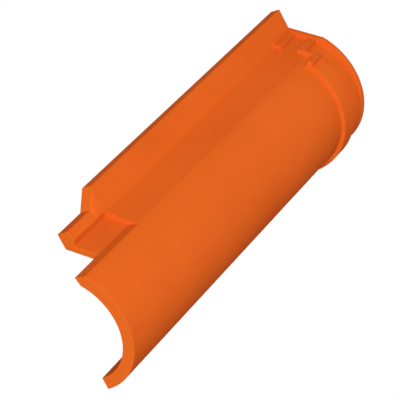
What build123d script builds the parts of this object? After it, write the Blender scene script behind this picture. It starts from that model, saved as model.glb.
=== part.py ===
from build123d import *
import math
import os

# One fired clay verge tile, a single solid.
# It is drawn as it lies on a roof: Y runs along the tile from the covered end to the
# exposed end, X across it from the flange to the roll, Z up, and the axis of the roll
# is X = 0, Z = 0. At the end it is turned about Y to lie open side down.

# stations along the tile, from the covered end of the roll
length = 486.0
lip_start = 41.5
pan_start = 97.0

# roll: a shell of even wall, from the edge of the pan over and down to a foot
roll_radius = 70.1
roll_wall = 12.8
pan_edge_angle = 14.6
foot_angle = 145.3

# pan: a slab beside the roll that falls a little from the flange to the roll
pan_thickness = 14.0
pan_drop = 0.3

# flange: a plate that leans outward from the edge of the pan, its top edge cut square
flange_foot_x = -19.6
flange_rise = 24.3
flange_slope = 58.2
flange_top_width = 11.6
flange_top_tilt = 30.0
flange_foot_round = 1.0
heel_x = -29.5

# lip: the sunk end that the next tile covers, with the flange cut down along its edge
lip_floor_drop = 6.9
lip_crest_x = -27.6
lip_crest_rise = 7.0
lip_edge_x = -38.5
lip_edge_rise = 0.1
ramp_run = 14.5

# pointed upper edge of the bare roll
edge_tip_x = 6.7

# ring round the roll, measured back from the exposed end, fuller down the side
ring_back = 51.0
ring_width = 22.0
ring_crown_rise = 4.4
ring_swell_angle = 58.0
ring_side_rise = 4.4
ring_foot_rise = 5.2
side_angle = 95.0

# level covers over the edge of the roll below: a cap on the ring, joined to a strip
cover_rise = 3.0
cap_edge_x = 25.5
cap_end_x = 32.5
strip_back = 34.5
strip_edge_x = 4.7
strip_end_x = 13.6

# stepped rib along the foot of the flange, over the upright of the lip below
rib_back = 38.5
rib_step_x = -18.5
rib_edge_x = -11.2

# flare of the roll behind the ring, sunk in the wall at the pan and at the foot
flare_sink = 1.5
flare_side_rise = 1.6
flare_foot_sink = 1.2

# rim round the exposed end: level over the pan, then falling away down the roll
rim_width = 5.5
rim_rise = 5.1
rim_turn_x = 19.8
rim_side_rise = 2.2
rim_foot_rise = 0.8

# spare size of the cut along the floor
overrun = 30.0


def roll_point(radius, degrees):
    a = math.radians(degrees)
    return (radius * math.sin(a), radius * math.cos(a))


def height_on(radius, x):
    return math.sqrt(radius ** 2 - x ** 2)


# section of the pan, the flange and the roll
pan_top = roll_radius - pan_drop
pan_under = pan_top - pan_thickness
bore_radius = roll_radius - roll_wall
wall_middle = roll_radius - roll_wall / 2
bore_start = math.degrees(math.acos(pan_under / bore_radius))
heel = (heel_x, pan_under)
flange_foot = (flange_foot_x, pan_top)
flange_inner = (flange_foot_x - flange_rise / math.tan(math.radians(flange_slope)), pan_top + flange_rise)
top_tilt = math.radians(flange_top_tilt)
flange_outer = (
    flange_inner[0] - flange_top_width * math.cos(top_tilt),
    flange_inner[1] - flange_top_width * math.sin(top_tilt),
)

# the foot ends on the plane the tile lies on: a line from the heel to the edge of the roll
foot_outer = roll_point(roll_radius, foot_angle)
lie = math.atan2(foot_outer[1] - heel[1], foot_outer[0] - heel[0])
lie_x = math.cos(lie)
lie_z = math.sin(lie)
offset = heel[0] * lie_z - heel[1] * lie_x
foot_run = math.sqrt(bore_radius ** 2 - offset ** 2)
foot_inner = (offset * lie_z + foot_run * lie_x, -offset * lie_x + foot_run * lie_z)
foot_inner_angle = math.degrees(math.atan2(foot_inner[0], foot_inner[1]))

along = Plane(origin=(0, 0, 0), x_dir=(1, 0, 0), z_dir=(0, -1, 0))


def placed(face, station):
    return Pos(0, station, 0) * (along * face)


def slab(face, start, end):
    return extrude(placed(face, start), end - start, dir=(0, 1, 0))


def wall_arc(radius, first, last):
    return ThreePointArc(
        roll_point(radius, first),
        roll_point(radius, (first + last) / 2),
        roll_point(radius, last),
    )


# main length: flange, pan and roll
outer = wall_arc(roll_radius, pan_edge_angle, foot_angle)
foot = Line(outer @ 1, foot_inner)
bore = wall_arc(bore_radius, foot_inner_angle, bore_start)
pan = Polyline(bore @ 1, heel, flange_outer, flange_inner, flange_foot, outer @ 0)
section = make_face(outer + foot + bore + pan)
crease = section.vertices().sort_by_distance((flange_foot[0], flange_foot[1], 0))[0]
section = fillet(crease, flange_foot_round)
tile = slab(section, pan_start, length)

# bare end of the roll, its upper edge drawn to a point
lip_floor = pan_top - lip_floor_drop
edge_tip = (edge_tip_x, lip_floor)
bare_edge = Polyline(bore @ 1, edge_tip, outer @ 0)
tile += slab(make_face(outer + foot + bore + bare_edge), 0, pan_start)

# lip with the cut-down flange along its outer edge
lip_edge = (lip_edge_x, pan_top + lip_edge_rise)
lip_crest = (lip_crest_x, pan_top + lip_crest_rise)
lip_corner = (flange_foot_x, lip_floor)
lip_root = roll_point(wall_middle, bore_start)
lip = Polyline(bore @ 1, heel, lip_edge, lip_crest, flange_foot, lip_corner, edge_tip, lip_root, close=True)
tile += slab(make_face(lip), lip_start, pan_start)

# ramp from the cut-down flange up to its full height
low = make_face(Polyline(heel, lip_edge, lip_crest, flange_foot, close=True))
high = make_face(Polyline(heel, flange_outer, flange_inner, flange_foot, close=True))
tile += loft([placed(low, pan_start - ramp_run), placed(high, pan_start)], ruled=True)

# ring, flare and rim run past the foot and are cut level with it at the end
band_end = foot_angle + math.degrees(math.asin(roll_wall / 2 / roll_radius))


def band(lead, curve):
    # a raised band: its leading edge, its outer curve, and back inside the wall
    first = math.degrees(math.atan2(lead[0][0], lead[0][1]))
    inner = wall_arc(wall_middle, band_end, first)
    down = Line(curve @ 1, inner @ 0)
    up = Polyline(inner @ 1, *lead)
    return make_face(curve + down + inner + up)


def swell(start, side_rise, foot_rise):
    return ThreePointArc(
        start,
        roll_point(roll_radius + side_rise, side_angle),
        roll_point(roll_radius + foot_rise, band_end),
    )


crown_radius = roll_radius + ring_crown_rise
ring_start = (cap_edge_x, height_on(crown_radius, cap_edge_x))
ring_crown = wall_arc(crown_radius, math.degrees(math.atan2(*ring_start)), ring_swell_angle)
ring_swell = swell(ring_crown @ 1, ring_side_rise, ring_foot_rise)
ring_front = length - ring_back
ring_end = ring_front + ring_width
raised = slab(band([ring_start], ring_crown + ring_swell), ring_front, ring_end)

# flare
flare_start = roll_point(roll_radius - flare_sink, pan_edge_angle)
raised += slab(band([flare_start], swell(flare_start, flare_side_rise, -flare_foot_sink)), ring_end, length)

# rim
core_x = flange_foot_x - flange_top_width / 2
core_z = pan_top - pan_thickness / 2
rim_top = pan_top + rim_rise
rim_lead = [(core_x, core_z), (core_x, rim_top), (rim_turn_x, rim_top)]
raised += slab(band(rim_lead, swell(rim_lead[-1], rim_side_rise, rim_foot_rise)), length - rim_width, length)

# covers
cover_top = pan_top + cover_rise


def cover(first_x, last_x):
    first = (first_x, height_on(wall_middle, first_x))
    last = (last_x, height_on(wall_middle, last_x))
    return make_face(Polyline(first, (first_x, cover_top), (last_x, cover_top), last, close=True))


strip_front = length - strip_back
raised += slab(cover(cap_edge_x, cap_end_x), ring_front, ring_end)
raised += slab(cover(strip_edge_x, cap_end_x), strip_front, ring_end)
raised += slab(cover(strip_edge_x, strip_end_x), strip_front, length)

# rib along the flange
rib = Polyline(
    (core_x, core_z),
    (core_x, rim_top),
    (rib_step_x, rim_top),
    (rib_step_x, cover_top),
    (rib_edge_x, cover_top),
    (rib_edge_x, core_z),
    close=True,
)
raised += slab(make_face(rib), length - rib_back, length)
tile += raised

# turned to lie on the foot and the heel, then cut level with the floor below the foot
tile = Rot(0, math.degrees(lie), 0) * tile
floor_z = heel[1] * lie_x - heel[0] * lie_z
box = tile.bounding_box()
below = Pos(box.center().X, box.center().Y, floor_z) * Box(
    box.size.X + overrun, box.size.Y + overrun, overrun, align=(Align.CENTER, Align.CENTER, Align.MAX)
)
tile -= below
box = tile.bounding_box()
tile = Pos(-box.center().X, -box.center().Y, -floor_z) * tile

os.makedirs("parts", exist_ok=True)
export_step(tile, "parts/clay_tile.step")
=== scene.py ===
import math

import bmesh
import bpy
from mathutils import Matrix, Vector
from mathutils.geometry import intersect_point_line


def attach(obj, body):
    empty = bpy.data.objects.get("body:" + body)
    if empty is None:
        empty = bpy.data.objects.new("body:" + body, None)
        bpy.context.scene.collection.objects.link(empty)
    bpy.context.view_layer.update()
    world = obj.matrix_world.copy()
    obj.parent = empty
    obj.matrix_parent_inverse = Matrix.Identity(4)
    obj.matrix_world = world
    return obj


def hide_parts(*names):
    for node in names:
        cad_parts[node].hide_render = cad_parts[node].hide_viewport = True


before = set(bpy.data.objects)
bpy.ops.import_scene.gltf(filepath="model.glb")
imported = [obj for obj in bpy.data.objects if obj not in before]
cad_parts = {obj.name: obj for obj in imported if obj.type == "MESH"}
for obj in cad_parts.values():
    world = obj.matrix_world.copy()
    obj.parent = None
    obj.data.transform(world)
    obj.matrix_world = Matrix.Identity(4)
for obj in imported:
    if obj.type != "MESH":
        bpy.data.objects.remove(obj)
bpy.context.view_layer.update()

# view: the tile lies turned about Y from the way it sits on a roof, and the camera is placed
# in the roof pose, from the near end of the roll's axis, then turned with the tile
LIE = math.radians(-58.539)
ROLL_AXIS = Vector((0.01178, -0.243, -0.00396))
VIEW_TURN = math.radians(60.57)
VIEW_ELEVATION = math.radians(35.0)
VIEW_DISTANCE = 2.0
VIEW_OFFSET_RIGHT = -0.12219
VIEW_OFFSET_UP = -0.12187
LENS_MM = 190.54
SENSOR_MM = 36.0

# edges of the fired piece: outer ones that turn sharply and have room are rounded
EDGE_ROUND = 0.0005
EDGE_ROOM = 0.0022
EDGE_SEGMENTS = 3
ROUND_PROFILE = 0.5
JOIN_DISTANCE = 1e-6
FLAT_ANGLE = math.radians(1.0)
SHARP_ANGLE = math.radians(10.0)
ROUNDED_ANGLE = math.radians(25.0)

# clay: colours are linear, noise scales are per metre
CLAY = (0.67, 0.132, 0.0146)
CLAY_PALE = (0.704, 0.144, 0.0175)
CLAY_DEEP = (0.636, 0.120, 0.0118)
PALE_AT = 0.7
DEEP_AT = 0.3
DRIFT_SCALE = 9.0
FLECK_SCALE = 900.0
FLECK_SHARE = 0.35
GRAIN_SCALE = 1400.0
GRAIN_STRENGTH = 0.3
GRAIN_DEPTH = 0.0004
NOISE_DETAIL = 3.0
NOISE_ROUGHNESS = 0.55
SMOOTHEST = 0.84
ROUGHEST = 0.96
CLAY_SHEEN_LEVEL = 0.03

# floor, world and lamps
WHITE = (1.0, 1.0, 1.0)
FLOOR_SIZE = 12.0
FLOOR_COLOUR = (0.30, 0.30, 0.30)
FLOOR_GLOW_SHARE = 0.86
FLOOR_GLOW = 1.13
WORLD_COLOUR = (1.0, 0.5, 0.4)
WORLD_STRENGTH = 0.378
BACKGROUND_STRENGTH = 1.0
KEY_POWER = 399.0
KEY_SIZE = 2.4
KEY_DISTANCE = 6.0
FILL_POWER = 50.0
FILL_SIZE = 2.0
FILL_PLACE = Vector((0.3, 3.9, 0.5))


def opaque(colour):
    return (*colour, 1.0)


def noise(tree, scale):
    place = tree.nodes.new("ShaderNodeTexCoord")
    spots = tree.nodes.new("ShaderNodeTexNoise")
    spots.inputs["Scale"].default_value = scale
    spots.inputs["Detail"].default_value = NOISE_DETAIL
    spots.inputs["Roughness"].default_value = NOISE_ROUGHNESS
    tree.links.new(place.outputs["Object"], spots.inputs["Vector"])
    return spots.outputs["Fac"]


def clay_colour(tree, fleck):
    # slow drift of the firing colour, with a fine sandy fleck over it
    blend = tree.nodes.new("ShaderNodeMix")
    blend.data_type = "FLOAT"
    blend.inputs["Factor"].default_value = FLECK_SHARE
    tree.links.new(noise(tree, DRIFT_SCALE), blend.inputs["A"])
    tree.links.new(fleck, blend.inputs["B"])
    drift = tree.nodes.new("ShaderNodeValToRGB")
    deep, pale = drift.color_ramp.elements
    deep.position = DEEP_AT
    deep.color = opaque(CLAY_DEEP)
    pale.position = PALE_AT
    pale.color = opaque(CLAY_PALE)
    middle = drift.color_ramp.elements.new((DEEP_AT + PALE_AT) / 2)
    middle.color = opaque(CLAY)
    tree.links.new(blend.outputs["Result"], drift.inputs["Fac"])
    return drift.outputs["Color"]


def clay_roughness(tree, fleck):
    # dull all over, a little smoother between the sandy flecks
    dull = tree.nodes.new("ShaderNodeMapRange")
    dull.inputs["To Min"].default_value = SMOOTHEST
    dull.inputs["To Max"].default_value = ROUGHEST
    tree.links.new(fleck, dull.inputs["Value"])
    return dull.outputs["Result"]


def clay_grain(tree):
    # fine grain of the pressed clay
    bump = tree.nodes.new("ShaderNodeBump")
    bump.inputs["Strength"].default_value = GRAIN_STRENGTH
    bump.inputs["Distance"].default_value = GRAIN_DEPTH
    tree.links.new(noise(tree, GRAIN_SCALE), bump.inputs["Height"])
    return bump.outputs["Normal"]


def clay_material():
    mat = bpy.data.materials.new("grained_clay")
    mat.use_nodes = True
    tree = mat.node_tree
    shader = tree.nodes["Principled BSDF"]
    shader.inputs["Specular IOR Level"].default_value = CLAY_SHEEN_LEVEL
    fleck = noise(tree, FLECK_SCALE)
    tree.links.new(clay_colour(tree, fleck), shader.inputs["Base Color"])
    tree.links.new(clay_roughness(tree, fleck), shader.inputs["Roughness"])
    tree.links.new(clay_grain(tree), shader.inputs["Normal"])
    return mat


def nearest_on(edge, spot):
    first = edge.verts[0].co
    last = edge.verts[1].co
    share = intersect_point_line(spot, first, last)[1]
    return first.lerp(last, min(max(share, 0.0), 1.0))


def has_room(edge):
    # true where the faces and edges beside an edge are large enough for the rounding
    for vert in edge.verts:
        if min(beside.calc_length() for beside in vert.link_edges) < EDGE_ROOM:
            return False
    middle = (edge.verts[0].co + edge.verts[1].co) / 2
    for face in edge.link_faces:
        for other in face.edges:
            if set(other.verts) & set(edge.verts):
                continue
            if (nearest_on(other, middle) - middle).length < EDGE_ROOM:
                return False
    return True


def soften_edges(work):
    # round the outer edges, and keep the inner corners and the crease of the pan crisp
    rounded = []
    for edge in work.edges:
        if edge.calc_face_angle_signed(0.0) > ROUNDED_ANGLE and has_room(edge):
            rounded.append(edge)
    bmesh.ops.bevel(
        work,
        geom=rounded,
        offset=EDGE_ROUND,
        segments=EDGE_SEGMENTS,
        profile=ROUND_PROFILE,
        affect="EDGES",
        clamp_overlap=False,
    )
    bmesh.ops.remove_doubles(work, verts=work.verts, dist=JOIN_DISTANCE)


def shade_by_angle(work):
    # smooth over the curved faces, crisp where two faces meet at more than a slight turn
    work.normal_update()
    for edge in work.edges:
        edge.smooth = edge.calc_face_angle(0.0) < SHARP_ANGLE
    for face in work.faces:
        face.smooth = True


def tile_mesh(node, material):
    mesh = node.data.copy()
    mesh.name = "tile_visual"
    work = bmesh.new()
    work.from_mesh(mesh)
    bmesh.ops.remove_doubles(work, verts=work.verts, dist=JOIN_DISTANCE)
    bmesh.ops.dissolve_limit(work, angle_limit=FLAT_ANGLE, verts=work.verts, edges=work.edges)
    soften_edges(work)
    shade_by_angle(work)
    work.to_mesh(mesh)
    work.free()
    # normals that came with the loaded mesh no longer fit its edges
    loaded_normals = mesh.attributes.get("custom_normal")
    if loaded_normals:
        mesh.attributes.remove(loaded_normals)
    mesh.materials.clear()
    mesh.materials.append(material)
    return mesh


def tile_piece():
    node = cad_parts["clay_tile"]
    tile = bpy.data.objects.new("tile_visual", tile_mesh(node, clay_material()))
    tile.matrix_world = node.matrix_world
    bpy.context.collection.objects.link(tile)
    flats = tile.modifiers.new("flat_faces", "WEIGHTED_NORMAL")
    flats.keep_sharp = True
    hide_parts("clay_tile")
    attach(tile, "root")


def seen_directly(tree):
    # one where the camera, a reflection or a clear view looks straight at the surface
    path = tree.nodes.new("ShaderNodeLightPath")
    first = tree.nodes.new("ShaderNodeMath")
    first.operation = "MAXIMUM"
    both = tree.nodes.new("ShaderNodeMath")
    both.operation = "MAXIMUM"
    tree.links.new(path.outputs["Is Camera Ray"], first.inputs[0])
    tree.links.new(path.outputs["Is Glossy Ray"], first.inputs[1])
    tree.links.new(first.outputs[0], both.inputs[0])
    tree.links.new(path.outputs["Is Transmission Ray"], both.inputs[1])
    return both.outputs[0]


def floor_material():
    # mostly white where it is looked at, with a share of plain grey that takes the shadow
    mat = bpy.data.materials.new("pale_floor")
    mat.use_nodes = True
    tree = mat.node_tree
    tree.nodes.clear()
    matt = tree.nodes.new("ShaderNodeBsdfDiffuse")
    matt.inputs["Color"].default_value = opaque(FLOOR_COLOUR)
    glow = tree.nodes.new("ShaderNodeEmission")
    glow.inputs["Color"].default_value = opaque(WHITE)
    glow.inputs["Strength"].default_value = FLOOR_GLOW
    share = tree.nodes.new("ShaderNodeMath")
    share.operation = "MULTIPLY"
    share.inputs[1].default_value = FLOOR_GLOW_SHARE
    tree.links.new(seen_directly(tree), share.inputs[0])
    mix = tree.nodes.new("ShaderNodeMixShader")
    tree.links.new(share.outputs[0], mix.inputs[0])
    tree.links.new(matt.outputs[0], mix.inputs[1])
    tree.links.new(glow.outputs[0], mix.inputs[2])
    out = tree.nodes.new("ShaderNodeOutputMaterial")
    tree.links.new(mix.outputs[0], out.inputs["Surface"])
    return mat


def make_floor():
    half = FLOOR_SIZE / 2
    mesh = bpy.data.meshes.new("floor")
    corners = [(-half, -half, 0), (half, -half, 0), (half, half, 0), (-half, half, 0)]
    mesh.from_pydata(corners, [], [(0, 1, 2, 3)])
    mesh.materials.append(floor_material())
    floor = bpy.data.objects.new("floor", mesh)
    bpy.context.collection.objects.link(floor)


def make_world():
    # white where it is looked at, and a warm soft light on the tile
    world = bpy.data.worlds.new("studio")
    world.use_nodes = True
    bpy.context.scene.world = world
    tree = world.node_tree
    light = tree.nodes["Background"]
    seen = seen_directly(tree)
    tint = tree.nodes.new("ShaderNodeMix")
    tint.data_type = "RGBA"
    tint.inputs["A"].default_value = opaque(WORLD_COLOUR)
    tint.inputs["B"].default_value = opaque(WHITE)
    tree.links.new(seen, tint.inputs["Factor"])
    tree.links.new(tint.outputs["Result"], light.inputs["Color"])
    level = tree.nodes.new("ShaderNodeMapRange")
    level.inputs["To Min"].default_value = WORLD_STRENGTH
    level.inputs["To Max"].default_value = BACKGROUND_STRENGTH
    tree.links.new(seen, level.inputs["Value"])
    tree.links.new(level.outputs["Result"], light.inputs["Strength"])


def view_axes():
    # right, up and ahead of the photo's view, turned from the roof pose with the tile
    right = Vector((math.sin(VIEW_TURN), math.cos(VIEW_TURN), 0))
    level = Vector((-math.cos(VIEW_TURN), math.sin(VIEW_TURN), 0))
    high = Vector((0, 0, 1))
    up = level * math.sin(VIEW_ELEVATION) + high * math.cos(VIEW_ELEVATION)
    ahead = level * math.cos(VIEW_ELEVATION) - high * math.sin(VIEW_ELEVATION)
    turn = Matrix.Rotation(LIE, 3, "Y")
    return turn @ right, turn @ up, turn @ ahead


def pose_matrix(right, up, ahead, eye):
    pose = Matrix((right, up, -ahead)).transposed().to_4x4()
    pose.translation = eye
    return pose


def make_camera():
    right, up, ahead = view_axes()
    eye = ROLL_AXIS - right * VIEW_OFFSET_RIGHT - up * VIEW_OFFSET_UP - ahead * VIEW_DISTANCE
    data = bpy.data.cameras.new("camera")
    data.lens = LENS_MM
    data.sensor_width = SENSOR_MM
    camera = bpy.data.objects.new("camera", data)
    camera.matrix_world = pose_matrix(right, up, ahead, eye)
    bpy.context.collection.objects.link(camera)
    bpy.context.scene.camera = camera


def make_lamp(name, power, size, pose):
    data = bpy.data.lights.new(name, "AREA")
    data.energy = power
    data.shape = "DISK"
    data.size = size
    lamp = bpy.data.objects.new(name, data)
    lamp.matrix_world = pose
    bpy.context.collection.objects.link(lamp)


def make_lamps():
    # a broad key from behind the camera, and a weak fill on the far end
    right, up, ahead = view_axes()
    make_lamp("key", KEY_POWER, KEY_SIZE, pose_matrix(right, up, ahead, -ahead * KEY_DISTANCE))
    aim = (-FILL_PLACE).to_track_quat("-Z", "Y").to_matrix().to_4x4()
    make_lamp("fill", FILL_POWER, FILL_SIZE, Matrix.Translation(FILL_PLACE) @ aim)


tile_piece()
make_floor()
make_world()
make_camera()
make_lamps()
bpy.context.scene.view_settings.view_transform = "Standard"
